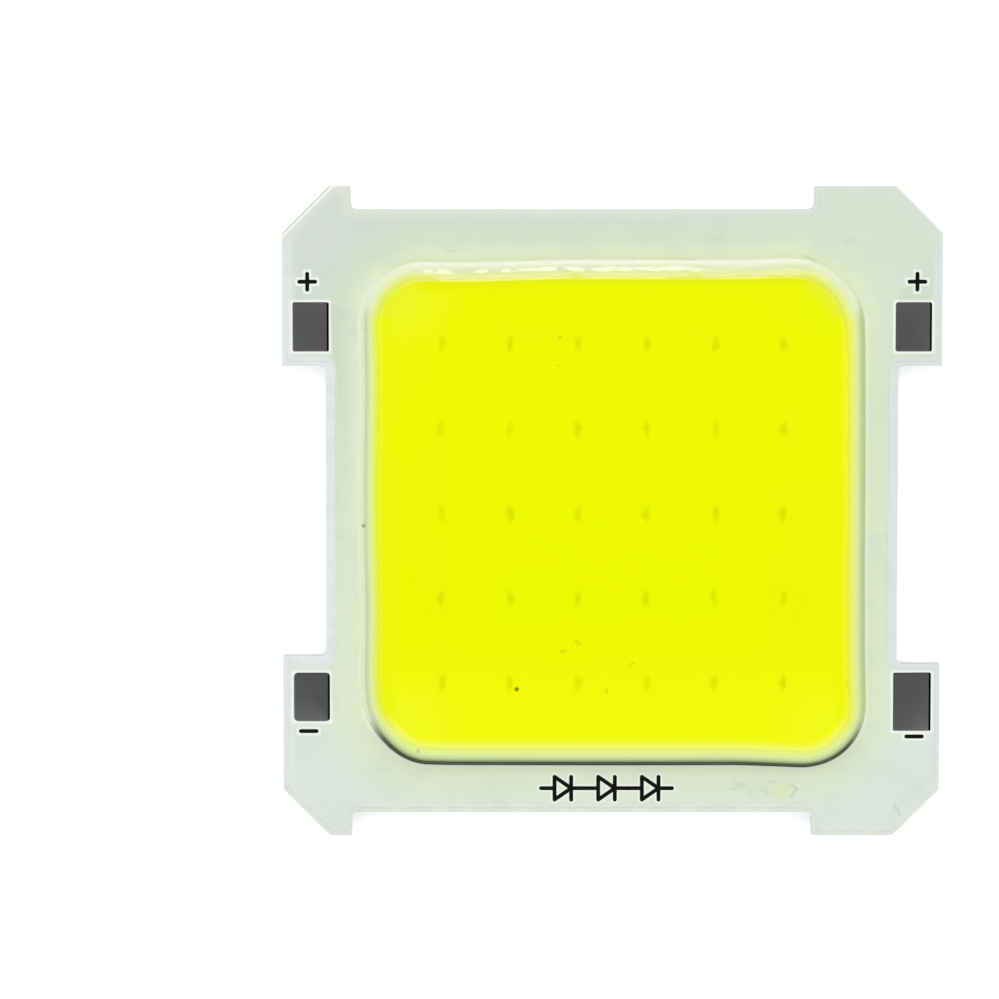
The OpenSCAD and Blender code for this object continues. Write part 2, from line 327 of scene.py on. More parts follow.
def hand_over(piece, body, slot, *nodes, smooth=35):
    """Leaves edit mode, smooths what is round, and ties the piece to the frame."""
    put_down()
    bpy.context.view_layer.objects.active = piece
    piece.select_set(True)
    bpy.ops.object.shade_smooth_by_angle(angle=math.radians(smooth))
    piece.select_set(False)
    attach(piece, body)
    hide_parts(*nodes)
    return piece


# ---- Materials ----
def tint(red, green, blue):
    """A display colour, 0 to 255 a channel, as the colour that a shader takes."""

    def straight(value):
        share = value / 255
        return share / 12.92 if share <= 0.04045 else ((share + 0.055) / 1.055) ** 2.4

    return (straight(red), straight(green), straight(blue), 1.0)


# ---- Colours ----
# The aluminium, the insulator and the ground along the board's edge.
ALUMINIUM = tint(200, 203, 206)
ALUMINIUM_LIGHT = tint(206, 208, 211)
ALUMINIUM_DARK = tint(188, 191, 195)
INSULATOR = tint(229, 233, 233)
INSULATOR_GLINT = tint(250, 252, 250)
EDGE_WEST = tint(231, 236, 235)
EDGE_EAST = tint(225, 231, 228)
EDGE_NORTH = tint(222, 227, 214)
EDGE_SOUTH = tint(228, 235, 224)
EDGE_PATCH = tint(217, 223, 220)
# The mask: open, far from the bead, close to it, and along the bead's foot, where it is painted
# lighter against the bead's shadow and carries a painted dark shade line on the east and south.
MASK = tint(214, 226, 203)
MASK_NORTH = tint(213, 227, 202)
MASK_SOUTH = tint(224, 236, 210)
MASK_EAST = tint(222, 237, 213)
MASK_FAR_NORTH = tint(212, 221, 214)
MASK_FAR_SOUTH = tint(223, 233, 225)
MASK_BY_BEAD = tint(229, 240, 204)
MASK_MOTTLE = tint(207, 221, 205)
FOOT_PAINTED_LIGHT = tint(250, 255, 240)
FOOT_NORTH_PAINTED_LIGHT = tint(227, 237, 202)
FOOT_WEST_PAINTED_LIGHT = tint(238, 248, 222)
FOOT_SHADE_EAST = tint(212, 225, 174)
FOOT_SHADE_SOUTH = tint(54, 70, 8)
SMUDGE = tint(196, 209, 188)
BLOT = tint(224, 236, 186)
# The tin, with a painted shade along its rim, and the ink.
TIN = tint(210, 210, 209)
TIN_LIGHT = tint(217, 217, 216)
TIN_DARK = tint(208, 209, 209)
TIN_RIM_SHADE = tint(20, 28, 22)
INK_BLACK = tint(12, 15, 9)
INK_THICK = tint(9, 12, 7)
INK_THIN = tint(28, 32, 24)
# The silicone and the gel.
SILICONE = tint(230, 238, 215)
GLINT_GAP = tint(233, 243, 96)
GEL = tint(240, 250, 2)
GEL_MIDDLE = tint(240, 251, 1)
GEL_WARM = tint(243, 248, 4)
GEL_SOUTH = tint(246, 252, 8)
GEL_SOUTH_WEST = tint(245, 254, 44)
GEL_SOUTH_EAST = tint(246, 254, 30)
GEL_NORTH_WEST = tint(239, 247, 46)
GEL_NORTH_EAST = tint(236, 252, 10)
GEL_OVER_DIE = tint(220, 229, 0)
# Dust and scratches, and the pale border round what is printed or tinned.
DAM_DUST = tint(158, 166, 128)
GEL_DUST = tint(132, 140, 0)
MASK_DUST = tint(150, 160, 138)
HALO = tint(249, 252, 246)


class Finish:
    """A node material in the making, read from the piece's own place in metres."""

    def __init__(self, name, colour, rough=0.5, gloss=0.5, metal=0.0):
        self.material = bpy.data.materials.new(name)
        self.material.use_nodes = True
        self.tree = self.material.node_tree
        self.shader = self.tree.nodes["Principled BSDF"]
        self.place = self.add("ShaderNodeTexCoord").outputs["Object"]
        self.shader.inputs["Metallic"].default_value = metal
        self.shader.inputs["Specular IOR Level"].default_value = gloss
        self.set("Base Color", colour)
        self.set("Roughness", rough)

    def add(self, kind, **settings):
        node = self.tree.nodes.new(kind)
        for name, value in settings.items():
            setattr(node, name, value)
        return node

    def join(self, value, socket):
        if isinstance(value, bpy.types.NodeSocket):
            self.tree.links.new(value, socket)
        else:
            socket.default_value = value

    def set(self, name, value):
        self.join(value, self.shader.inputs[name])

    def sum(self, operation, *values, clamp=False):
        """One Math node."""
        node = self.add("ShaderNodeMath", operation=operation, use_clamp=clamp)
        for value, socket in zip(values, node.inputs):
            self.join(value, socket)
        return node.outputs[0]

    def remap(self, value, low, high, to_low=0.0, to_high=1.0):
        """Smoothly turns low..high into to_low..to_high, held at both ends."""
        node = self.add("ShaderNodeMapRange", interpolation_type="SMOOTHSTEP")
        for put, socket in zip((value, low, high, to_low, to_high), node.inputs):
            self.join(put, socket)
        return node.outputs[0]

    def blend(self, share, under, over):
        """One Mix node for colours."""
        node = self.add("ShaderNodeMix", data_type="RGBA")
        self.join(share, node.inputs[0])
        self.join(under, node.inputs[6])
        self.join(over, node.inputs[7])
        return node.outputs[2]

    def ramp(self, value, stops):
        """A colour ramp through (place, colour) stops."""
        node = self.add("ShaderNodeValToRGB")
        steps = node.color_ramp.elements
        while len(steps) < len(stops):
            steps.new(1.0)
        for step, (place, colour) in zip(steps, stops):
            step.position = place
            step.color = colour
        self.join(value, node.inputs[0])
        return node.outputs[0]

    def spread(self, stretch):
        """The piece's place with each axis stretched."""
        node = self.add("ShaderNodeMapping")
        node.inputs["Scale"].default_value = stretch
        self.join(self.place, node.inputs["Vector"])
        return node.outputs[0]

    def noise(self, grain, detail, place=None):
        """Noise whose lumps are about that many metres across."""
        node = self.add("ShaderNodeTexNoise")
        self.join(place or self.place, node.inputs["Vector"])
        node.inputs["Scale"].default_value = 1 / grain
        node.inputs["Detail"].default_value = detail
        return node.outputs["Fac"]

    def axes(self):
        """The place's x, y and z."""
        node = self.add("ShaderNodeSeparateXYZ")
        self.join(self.place, node.inputs[0])
        return node.outputs

    def bump(self, height, depth):
        """Raises the surface by height times depth."""
        node = self.add("ShaderNodeBump")
        node.inputs["Distance"].default_value = depth
        self.join(height, node.inputs["Height"])
        self.join(node.outputs[0], self.shader.inputs["Normal"])

    def length(self, x, y):
        """How long the flat step (x, y) is."""
        both = self.add("ShaderNodeCombineXYZ")
        self.join(x, both.inputs[0])
        self.join(y, both.inputs[1])
        node = self.add("ShaderNodeVectorMath", operation="LENGTH")
        self.join(both.outputs[0], node.inputs[0])
        return node.outputs["Value"]

    def from_box(self, box):
        """Distance outside a box, seen from above; 0 within it."""
        middle, half = centre_of(box), size_of(box) / 2
        x, y, _ = self.axes()
        beyond = []
        for value, at, reach in ((x, middle.x, half.x), (y, middle.y, half.y)):
            off = self.sum("ABSOLUTE", self.sum("SUBTRACT", value, at))
            beyond.append(self.sum("MAXIMUM", self.sum("SUBTRACT", off, reach), 0.0))
        return self.length(*beyond)

    def from_any(self, boxes):
        """Distance from the nearest of several boxes."""
        nearest = self.from_box(boxes[0])
        for box in boxes[1:]:
            nearest = self.sum("MINIMUM", nearest, self.from_box(box))
        return nearest

    def from_spot(self, middle, reach=(1, 1)):
        """How far the place lies from a point in millimetres, as a share of the reach each way."""
        x, y, _ = self.axes()
        parts = []
        for value, at, half in ((x, middle[0], reach[0]), (y, middle[1], reach[1])):
            off = self.sum("SUBTRACT", value, at * MM)
            parts.append(self.sum("DIVIDE", off, half * MM))
        return self.length(*parts)

    def from_line(self, start, end, place=None):
        """Distance from a straight line between two points in metres."""
        x, y = place or self.axes()[:2]
        run = Vector(end) - Vector(start)
        off_x = self.sum("SUBTRACT", x, start[0])
        off_y = self.sum("SUBTRACT", y, start[1])
        along = self.sum(
            "ADD",
            self.sum("MULTIPLY", off_x, run.x / run.length_squared),
            self.sum("MULTIPLY", off_y, run.y / run.length_squared),
            clamp=True,
        )
        return self.length(
            self.sum("SUBTRACT", off_x, self.sum("MULTIPLY", along, run.x)),
            self.sum("SUBTRACT", off_y, self.sum("MULTIPLY", along, run.y)),
        )

    def marked(self, colour, specks, scratches, dark):
        """The colour with dark specks and thin scratches laid over it."""
        for middle, radius, depth in specks:
            off = self.from_spot(middle, (radius, radius))
            share = self.remap(off, *SPECK_FADE, 0.0, depth)
            colour = self.blend(share, colour, dark)
        for ends_at in scratches:
            start_at, end_at = (Vector(point) * MM for point in ends_at)
            aside = self.from_line(start_at, end_at)
            share = self.remap(aside, *SCRATCH_FADE, 0.0, SCRATCH_DARK)
            colour = self.blend(share, colour, dark)
        return colour

    def from_edge(self):
        """Distance from the board's punched edge."""
        x, y, _ = self.axes()
        half = size_of(CAD_BOX) / 2
        aside, along = self.sum("ABSOLUTE", x), self.sum("ABSOLUTE", y)
        nearest = self.sum(
            "MINIMUM", self.sum("SUBTRACT", half.x, aside), self.sum("SUBTRACT", half.y, along)
        )
        reach = half.x + half.y - CORNER_CUT
        cut = self.sum("SUBTRACT", reach, self.sum("ADD", aside, along))
        nearest = self.sum("MINIMUM", nearest, self.sum("MULTIPLY", cut, math.sqrt(0.5)))
        far = 2 * half.x
        floor_x = half.x - NOTCH_DEPTH
        floor_y = half.y - END_DEPTH
        tabs = (TAB_LEFT - half.x, half.x - TAB_RIGHT)
        cuts = [
            ((floor_x, -NOTCH_DOWN_RIGHT), (far, NOTCH_UP)),
            ((-far, -NOTCH_DOWN_LEFT), (-floor_x, NOTCH_UP)),
            ((tabs[0], floor_y), (tabs[1], far)),
            ((tabs[0], -far), (tabs[1], -floor_y)),
        ]
        boxes = [(Vector((*low, 0)), Vector((*high, 0))) for low, high in cuts]
        return self.sum("MINIMUM", nearest, self.from_any(boxes))

    def even_place(self):
        """The place's x and y, with the bead's strays taken out."""
        x, y, _ = self.axes()
        for at, reach, shift in BEAD_STRAYS:
            aside = self.sum("SUBTRACT", x, at[0] * MM)
            along = self.sum("SUBTRACT", y, at[1] * MM)
            share = self.remap(self.length(aside, along), reach * MM, 0.0)
            x = self.sum("SUBTRACT", x, self.sum("MULTIPLY", share, shift[0] * MM))
            y = self.sum("SUBTRACT", y, self.sum("MULTIPLY", share, shift[1] * MM))
        return x, y

    def from_bead(self):
        """Distance outward from the bead's middle line, and how far it faces north and east."""
        x, y = self.even_place()
        over_x = self.sum("SUBTRACT", self.sum("ABSOLUTE", x), BEAD_HALF_X - BEAD_CORNER)
        over_y = self.sum("SUBTRACT", self.sum("ABSOLUTE", y), BEAD_HALF_Y - BEAD_CORNER)
        out_x = self.sum("MAXIMUM", over_x, 0.0)
        out_y = self.sum("MAXIMUM", over_y, 0.0)
        reach = self.length(out_x, out_y)
        inner = self.sum("MINIMUM", self.sum("MAXIMUM", over_x, over_y), 0.0)
        distance = self.sum("SUBTRACT", self.sum("ADD", reach, inner), BEAD_CORNER)
        north = self.sum("MULTIPLY", self.sum("DIVIDE", out_y, reach), self.sum("SIGN", y))
        east = self.sum("MULTIPLY", self.sum("DIVIDE", out_x, reach), self.sum("SIGN", x))
        return distance, north, east


def dress(material, *pieces):
    """Puts one material on every slot of each piece."""
    for piece in pieces:
        if not piece.material_slots:
            piece.data.materials.append(None)
        for slot in piece.material_slots:
            slot.material = material


# Colour across the bead, from its outer foot in to the gel: millimetres, then display colour.
# Besides the bead's own fade to the yellow gel, these hold painted light: light painted along the
# outer foot on the north, its corners and the west, painted highlight lines on the north side,
# and a painted dark shade line near the foot on the west, east and south, darkest on the south.
FADES_WITH_PAINTED_LIGHT = {
    "west": [
        (0.00, (250, 255, 232)),
        (0.10, (238, 250, 218)),
        (0.30, (205, 220, 173)),
        (0.56, (227, 236, 178)),
        (0.80, (234, 247, 122)),
        (1.05, (240, 251, 58)),
        (1.40, (238, 248, 14)),
    ],
    "east": [
        (0.10, (192, 206, 152)),
        (0.50, (224, 239, 162)),
        (0.75, (235, 247, 126)),
        (1.00, (243, 252, 78)),
        (1.20, (244, 252, 40)),
        (1.60, (240, 250, 6)),
    ],
    "north": [
        (0.00, (246, 252, 220)),
        (0.16, (255, 255, 236)),
        (0.40, (230, 238, 200)),
        (0.58, (220, 228, 186)),
        (0.90, (244, 250, 166)),
        (1.02, (254, 255, 176)),
        (1.15, (252, 254, 134)),
        (1.27, (229, 239, 28)),
        (1.60, (236, 246, 4)),
    ],
    "south": [
        (0.20, (40, 52, 4)),
        (0.30, (150, 166, 104)),
        (0.43, (200, 215, 158)),
        (0.69, (226, 242, 160)),
        (1.20, (246, 255, 100)),
        (1.60, (246, 253, 32)),
        (2.20, (244, 251, 6)),
    ],
    "upper_corners": [
        (0.00, (255, 255, 240)),
        (0.14, (240, 247, 222)),
        (0.54, (232, 240, 190)),
        (1.04, (235, 247, 96)),
        (1.36, (235, 244, 46)),
        (2.20, (236, 247, 34)),
    ],
}
FADE_REACH = 2.2  # in millimetres
FADE_ENDS = (1.35 * MM, 2.3 * MM)  # how far in the fade gives way to the open gel
GLINT_STARTS = (0.84 * MM, 0.92 * MM)  # the broken line of light along the north side
GLINT_ENDS = (1.26 * MM, 1.18 * MM)


def fade_with_painted_light(finish):
    """The colour across the bead and the gel's border, which differs from side to side.

    It holds painted light: painted highlights on the north, and painted dark shade lines at the
    foot.
    """
    distance, north, east = finish.from_bead()
    inward = finish.sum("SUBTRACT", DAM_HALF.x - BEAD_HALF_X, distance)
    share = finish.sum("DIVIDE", inward, FADE_REACH * MM, clamp=True)
    fade = {}
    for side, stops in FADES_WITH_PAINTED_LIGHT.items():
        fade[side] = finish.ramp(share, [(at / FADE_REACH, tint(*shade)) for at, shade in stops])
    colour = finish.blend(finish.remap(east, -0.1, 0.1), fade["west"], fade["east"])

    # Painted highlight: the north side's bright line across the bead is broken into dashes by
    # noise.
    streak = finish.noise(1.5 * MM, 2, finish.spread((0.4, 1, 1)))
    begun = finish.remap(inward, *GLINT_STARTS)
    within = finish.sum("MULTIPLY", begun, finish.remap(inward, *GLINT_ENDS))
    gap = finish.sum("MULTIPLY", within, finish.remap(streak, 0.5, 0.56, 0.0, 0.75))
    broken = finish.blend(gap, fade["north"], GLINT_GAP)
    colour = finish.blend(finish.remap(north, 0.75, 1.0), colour, broken)
    rounding = finish.sum("MULTIPLY", north, finish.sum("ABSOLUTE", east))
    colour = finish.blend(finish.remap(rounding, 0.08, 0.36), colour, fade["upper_corners"])
    colour = finish.blend(finish.remap(north, -0.2, -0.75), colour, fade["south"])
    return colour, inward


def silicone_finish():
    finish = Finish("white_silicone", SILICONE, rough=0.12, gloss=0.5)
    colour, _ = fade_with_painted_light(finish)
    finish.set("Base Color", finish.marked(colour, DAM_SPECKS, [], DAM_DUST))
    _, north, _ = finish.from_bead()
    x, _, _ = finish.axes()
    dusty = finish.remap(north, -0.1, -0.6, 0.12, 0.5)
    dull_east = finish.remap(x, 4 * MM, 8 * MM, 0.12, 0.34)
    finish.set("Roughness", finish.sum("MAXIMUM", dusty, dull_east))
    finish.set("Subsurface Weight", 0.5)
    finish.set("Subsurface Radius", (1, 1, 1))
    finish.set("Subsurface Scale", 0.3 * MM)
    finish.bump(finish.noise(0.8 * MM, 1.5, finish.spread((0.4, 1, 1))), 0.12 * MM)
    return finish.material


def on_dies(finish):
    """How much of the die below shows through: most over its middle, and never twice the same."""
    x, y, _ = finish.axes()
    wander = finish.noise(0.8 * MM, 2)
    x = finish.sum("ADD", x, finish.remap(wander, 0.3, 0.7, -0.1 * MM, 0.1 * MM))
    near_x = finish.sum("SUBTRACT", finish.sum("FRACT", finish.sum("DIVIDE", x, DIE_PITCH_X)), 0.5)
    row = finish.sum("ADD", finish.sum("DIVIDE", y, DIE_PITCH_Y), 0.5)
    near_y = finish.sum("SUBTRACT", finish.sum("FRACT", row), 0.5)
    off = finish.length(
        finish.sum("MULTIPLY", near_x, DIE_PITCH_X / DIE_SPOT[0]),
        finish.sum("MULTIPLY", near_y, DIE_PITCH_Y / DIE_SPOT[1]),
    )
    core = finish.remap(off, 1.3, 0.2)
    uneven = finish.remap(finish.noise(2.2 * MM, 1), 0.35, 0.65, 0.6, 1.0)
    return finish.sum("MULTIPLY", core, uneven)


def gel_finish():
    finish = Finish("phosphor_silicone", GEL, rough=0.22, gloss=0.06)
    x, y, _ = finish.axes()
    aside, along = finish.sum("ABSOLUTE", x), finish.sum("ABSOLUTE", y)
    border = finish.remap(finish.sum("MAXIMUM", aside, along), 6 * MM, 12 * MM)
    patch = finish.remap(finish.noise(5 * MM, 3), 0.35, 0.65)
    warm = finish.sum("MULTIPLY", border, finish.remap(patch, 0.0, 1.0, 0.5, 1.0))
    field = finish.blend(warm, GEL_MIDDLE, GEL_WARM)
    field = finish.blend(finish.remap(y, -6 * MM, -13 * MM), field, GEL_SOUTH)
    corner = finish.sum(
        "MULTIPLY", finish.remap(aside, 9 * MM, 14 * MM), finish.remap(along, 9.5 * MM, 14 * MM)
    )
    eastward = finish.remap(x, -5 * MM, 5 * MM)
    lower = finish.blend(eastward, GEL_SOUTH_WEST, GEL_SOUTH_EAST)
    upper = finish.blend(eastward, GEL_NORTH_WEST, GEL_NORTH_EAST)
    pale = finish.blend(finish.remap(y, -5 * MM, 5 * MM), lower, upper)
    field = finish.blend(corner, field, pale)
    fade, inward = fade_with_painted_light(finish)
    colour = finish.blend(finish.remap(inward, *FADE_ENDS), fade, field)
    colour = finish.blend(on_dies(finish), colour, GEL_OVER_DIE)
    colour = finish.marked(colour, GEL_SPECKS, GEL_SCRATCHES, GEL_DUST)
    finish.set("Base Color", colour)
    finish.bump(finish.noise(3 * MM, 2), 0.02 * MM)
    return finish.material


def strokes_of(name):
    """The box of each stroke of a plus or minus sign."""
    low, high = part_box(name)
    if not name.startswith("mark_plus"):
        return [(low, high)]
    middle = (low + high) / 2
    half = INK_STROKE / 2
    bar = (Vector((low.x, middle.y - half, low.z)), Vector((high.x, middle.y + half, high.z)))
    post = (Vector((middle.x - half, low.y, low.z)), Vector((middle.x + half, high.y, high.z)))
    return [bar, post]


def from_diodes(finish):
    """Distance from the middle lines of the diode symbols, each of them like the next."""
    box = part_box("diode_symbols")
    middle, size = centre_of(box), size_of(box)
    length = (size.x - INK_STROKE) / DIODES
    tip = DIODE_TRIANGLE / 2
    half = (size.y - INK_STROKE) / 2
    x, y, _ = finish.axes()
    along = finish.sum("SUBTRACT", x, middle.x - DIODES * length / 2)
    along = finish.sum("MAXIMUM", finish.sum("MINIMUM", along, (DIODES - 0.001) * length), 0.0)
    past = finish.sum("SUBTRACT", finish.sum("SUBTRACT", x, middle.x - DIODES * length / 2), along)
    turn = finish.sum("MULTIPLY", finish.sum("FRACT", finish.sum("DIVIDE", along, length)), length)
    local = (
        finish.sum("ADD", finish.sum("SUBTRACT", turn, length / 2), past),
        finish.sum("SUBTRACT", y, middle.y),
    )
    lines = [
        ((-length / 2, 0), (-tip, 0)),
        ((tip, 0), (length / 2, 0)),
        ((-tip, half), (tip, 0)),
        ((tip, 0), (-tip, -half)),
        ((-tip, -half), (-tip, half)),
        ((tip, half), (tip, -half)),
    ]
    nearest = finish.from_line(*lines[0], local)
    for line in lines[1:]:
        nearest = finish.sum("MINIMUM", nearest, finish.from_line(*line, local))
    return nearest


def edge_colour(finish):
    """The pale ground along the board's edge: bluish at the west, greener at both ends."""
    x, y, _ = finish.axes()
    colour = finish.blend(finish.remap(x, -14 * MM, 14 * MM), EDGE_WEST, EDGE_EAST)
    colour = finish.blend(finish.remap(y, 15 * MM, 19 * MM), colour, EDGE_NORTH)
    colour = finish.blend(finish.remap(y, -15 * MM, -19 * MM), colour, EDGE_SOUTH)
    patch = finish.remap(finish.noise(1.2 * MM, 3), 0.4, 0.65, 0.0, 0.35)
    return finish.blend(patch, colour, EDGE_PATCH)


def mask_finish():
    finish = Finish("white_mask", MASK, rough=0.42, gloss=0.4)
    distance, north, east = finish.from_bead()
    x, y, _ = finish.axes()
    south = finish.remap(y, 12 * MM, -12 * MM)
    plain = finish.blend(south, MASK_NORTH, MASK_SOUTH)
    corner = finish.blend(south, MASK_FAR_NORTH, MASK_FAR_SOUTH)
    far = finish.remap(distance, 2.2 * MM, 4.4 * MM)
    eastward = finish.remap(x, 0.0, 14 * MM)
    north_east = finish.sum("MULTIPLY", eastward, finish.remap(y, 0.0, 14 * MM))
    elsewhere = finish.sum("SUBTRACT", 1.0, finish.sum("MULTIPLY", north_east, 0.7))
    far = finish.sum("MULTIPLY", far, elsewhere)
    plain = finish.blend(finish.remap(x, 4 * MM, 16 * MM, 0.0, 0.4), plain, MASK_EAST)
    colour = finish.blend(far, plain, corner)
    close = finish.remap(distance, 2.3 * MM, 0.95 * MM, 0.0, 0.85)
    colour = finish.blend(close, colour, MASK_BY_BEAD)
    mottle = finish.remap(finish.noise(2.4 * MM, 3), 0.45, 0.7, 0.0, 0.35)
    colour = finish.blend(mottle, colour, MASK_MOTTLE)
    rim_reach = finish.remap(x, -17.0 * MM, -18.0 * MM, 0.65 * MM, 1.05 * MM)
    rim = finish.remap(finish.from_edge(), rim_reach, BARE_EDGE)
    colour = finish.blend(rim, colour, edge_colour(finish))
    # Painted light: the mask is lightened along the bead's foot, against the bead's shadow there.
    foot = finish.remap(distance, BEAD_RADIUS + 0.42 * MM, BEAD_RADIUS + 0.06 * MM)
    foot_painted_light = finish.blend(finish.remap(north, -0.1, 0.4), FOOT_PAINTED_LIGHT, FOOT_NORTH_PAINTED_LIGHT)
    westward = finish.remap(east, -0.4, -0.9)
    foot_light_west = finish.sum("MULTIPLY", westward, finish.remap(north, -0.5, -0.1))
    foot_painted_light = finish.blend(foot_light_west, foot_painted_light, FOOT_WEST_PAINTED_LIGHT)
    colour = finish.blend(foot, colour, foot_painted_light)
    # Painted shade: a dark line on the mask just outside the bead's foot, on the east and the
    # south.
    line = finish.remap(distance, BEAD_RADIUS + 0.1 * MM, BEAD_RADIUS + 0.05 * MM)
    east_shade_line = finish.sum("MULTIPLY", finish.remap(east, 0.5, 0.9), finish.remap(north, 0.5, 0.2))
    colour = finish.blend(finish.sum("MULTIPLY", line, east_shade_line), colour, FOOT_SHADE_EAST)
    south_shade_line = finish.sum("MULTIPLY", line, finish.remap(north, -0.2, -0.75))
    colour = finish.blend(south_shade_line, colour, FOOT_SHADE_SOUTH)
    for middle, reach in MASK_SMUDGES:
        patchy = finish.remap(finish.noise(0.5 * MM, 2), 0.42, 0.6, 0.0, 0.4)
        near = finish.remap(finish.from_spot(middle, reach), 1.1, 0.5)
        share = finish.sum("MULTIPLY", near, patchy)
        colour = finish.blend(share, colour, SMUDGE)
    blot = finish.remap(finish.from_spot(*MASK_BLOT), 1.1, 0.3, 0.0, 0.8)
    colour = finish.blend(blot, colour, BLOT)
    colour = finish.marked(colour, [], MASK_SCRATCHES, MASK_DUST)
    pads = finish.from_any([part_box(name) for name in PADS])
    colour = finish.blend(finish.remap(pads, *HALO_FADE, 0.0, 0.9), colour, HALO)
    signs = finish.from_any([part for name in SIGNS for part in strokes_of(name)])
    colour = finish.blend(finish.remap(signs, *HALO_FADE, 0.0, 0.85), colour, HALO)
    diodes = finish.remap(from_diodes(finish), *DIODE_HALO_FADE, 0.0, 0.75)
    colour = finish.blend(diodes, colour, HALO)
    finish.set("Base Color", colour)
    finish.bump(finish.noise(0.5 * MM, 3), 0.004 * MM)
    return finish.material


def resin_finish():
    finish = Finish("insulator", INSULATOR, rough=0.5, gloss=0.4)
    x, y, _ = finish.axes()
    cut_reach = (size_of(CAD_BOX).x + size_of(CAD_BOX).y) / 2 - CORNER_CUT
    off_cut = finish.sum("SUBTRACT", cut_reach, finish.sum("SUBTRACT", y, x))
    off_cut = finish.sum("MULTIPLY", off_cut, math.sqrt(0.5))
    off_glint = finish.sum("ABSOLUTE", finish.sum("SUBTRACT", off_cut, 0.2 * MM))
    glint = finish.remap(off_glint, 0.09 * MM, 0.03 * MM)
    finish.set("Base Color", finish.blend(glint, edge_colour(finish), INSULATOR_GLINT))
    finish.bump(finish.noise(0.3 * MM, 2), 0.004 * MM)
    return finish.material


def aluminium_finish():
    finish = Finish("aluminium", ALUMINIUM, rough=0.35, metal=1.0)
    rolled = finish.noise(0.12 * MM, 3, finish.spread((0.04, 1, 1)))
    streak = finish.remap(rolled, 0.3, 0.7)
    finish.set("Base Color", finish.blend(streak, ALUMINIUM_LIGHT, ALUMINIUM_DARK))
    finish.set("Roughness", finish.remap(streak, 0.0, 1.0, 0.28, 0.42))
    finish.bump(rolled, 0.004 * MM)
    return finish.material


def tin_finish():
    finish = Finish("tinned_pad", TIN, rough=0.2, metal=1.0)
    ripple = finish.noise(0.8 * MM, 3)
    colour = finish.blend(ripple, TIN_LIGHT, TIN_DARK)
    # Painted shade: a dark band along each pad's rim, widest on the east side.
    inner = []
    for name in PADS:
        low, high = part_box(name)
        thin = Vector((0.03, 0.04, 0)) * MM
        thick = Vector((0.15, 0.05, 0)) * MM
        inner.append((low + thin, high - thick))
    rim = finish.remap(finish.from_any(inner), 0.0, 0.04 * MM)
    finish.set("Base Color", finish.blend(rim, colour, TIN_RIM_SHADE))
    finish.bump(ripple, 0.0006 * MM)
    return finish.material


def ink_finish():
    finish = Finish("black_ink", INK_BLACK, rough=0.6, gloss=0.08)
    thin = finish.remap(finish.noise(0.15 * MM, 3), 0.55, 0.8)
    finish.set("Base Color", finish.blend(thin, INK_THICK, INK_THIN))
    return finish.material


def grained_finish(name, light, dark, grain, rough, metal=0.0):
    """A plain ground of two shades for the parts under the gel and the mask."""
    finish = Finish(name, tint(*light), rough=rough, metal=metal)
    patch = finish.noise(grain, 3)
    finish.set("Base Color", finish.blend(patch, tint(*light), tint(*dark)))
    finish.bump(patch, 0.1 * grain)
    return finish.material


# ---- Pieces ----
def punched_plate():
    """The aluminium, with its lower edge rolled over by the punch."""
    piece = copy_of_node("base_plate", "punched_plate")
    pick("EDGE", rim_edges(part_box("base_plate")[0].z))
    bpy.ops.mesh.bevel(offset=PLATE_ROLL, segments=3, profile=0.6)
    return hand_over(piece, "root", "aluminium", "base_plate")


def resin_layer():
    """The pale insulating layer whose edge shows round the mask."""
    piece = copy_of_node("insulating_layer", "resin_layer")
    pick("EDGE", rim_edges(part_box("insulating_layer")[1].z))
    bpy.ops.mesh.bevel(offset=INSULATOR_BEVEL, segments=2)
    return hand_over(piece, "root", "insulator", "insulating_layer")


def mask_coat():
    """The solder mask, thinning at its border and at the pad windows."""
    piece = copy_of_node("solder_mask", "mask_coat")
    for name, corner in PAD_CORNERS.items():
        pick("EDGE", corner_posts(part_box(name)))
        bpy.ops.mesh.bevel(offset=corner, segments=PAD_CORNER_STEPS)
    pick("EDGE", rim_edges(MASK_BOX[1].z))
    bpy.ops.mesh.bevel(offset=MASK_BEVEL, segments=1)
    return hand_over(piece, "root", "white_mask", "solder_mask")


